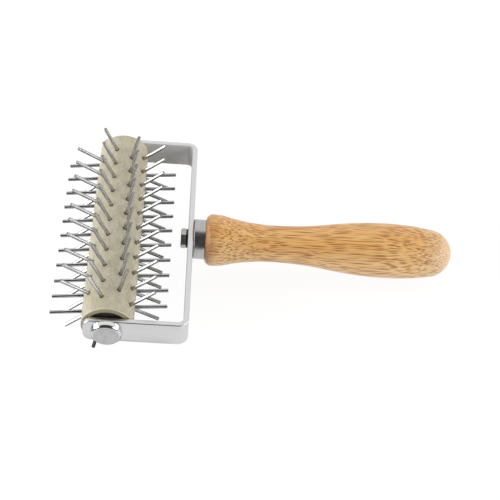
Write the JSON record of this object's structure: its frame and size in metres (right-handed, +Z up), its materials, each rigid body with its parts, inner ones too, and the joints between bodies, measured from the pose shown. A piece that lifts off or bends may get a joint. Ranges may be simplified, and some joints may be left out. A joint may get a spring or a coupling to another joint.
{
  "type": "dough docker",
  "caption": "Hand-held dough docker: a pin-studded plastic roller turns on an axle in a bent steel yoke with a turned wooden handle, for pricking rolled dough.",
  "frame": {"origin": "on the surface under the pins, below the middle of the bounding box", "axes": "+X from the roller along the handle, +Y along the axle, +Z up"},
  "size_m": [0.2252, 0.1494, 0.0618],
  "materials": {
    "yoke_steel": "satin",
    "axle_steel": "drawn",
    "cap_steel": "bright",
    "handle_wood": "satin lacquer",
    "ferrule_steel": "polished",
    "screw_steel": "bright",
    "sleeve_plastic": "satin",
    "core_plastic": "matte",
    "pin_steel": "bright"
  },
  "bodies": {
    "frame": {"yoke": "yoke_steel", "axle": "axle_steel", "axle_cap_front": "cap_steel", "axle_cap_rear": "cap_steel", "handle": "handle_wood", "ferrule": "ferrule_steel", "handle_screw": "screw_steel", "screw_washer": "screw_steel"},
    "roller": {"roller_sleeve": "sleeve_plastic", "roller_core": "core_plastic", "pin_row_01": "pin_steel", "pin_row_02": "pin_steel", "pin_row_03": "pin_steel", "pin_row_04": "pin_steel", "pin_row_05": "pin_steel", "pin_row_06": "pin_steel", "pin_row_07": "pin_steel", "pin_row_08": "pin_steel", "pin_row_09": "pin_steel", "pin_row_10": "pin_steel"}
  },
  "joints": [
    {"name": "roller_spin", "type": "hinge", "parent": "frame", "child": "roller", "pos_m": [-0.08072, 0, 0.0309], "axis": [0, 1, 0], "continuous": true}
  ]
}
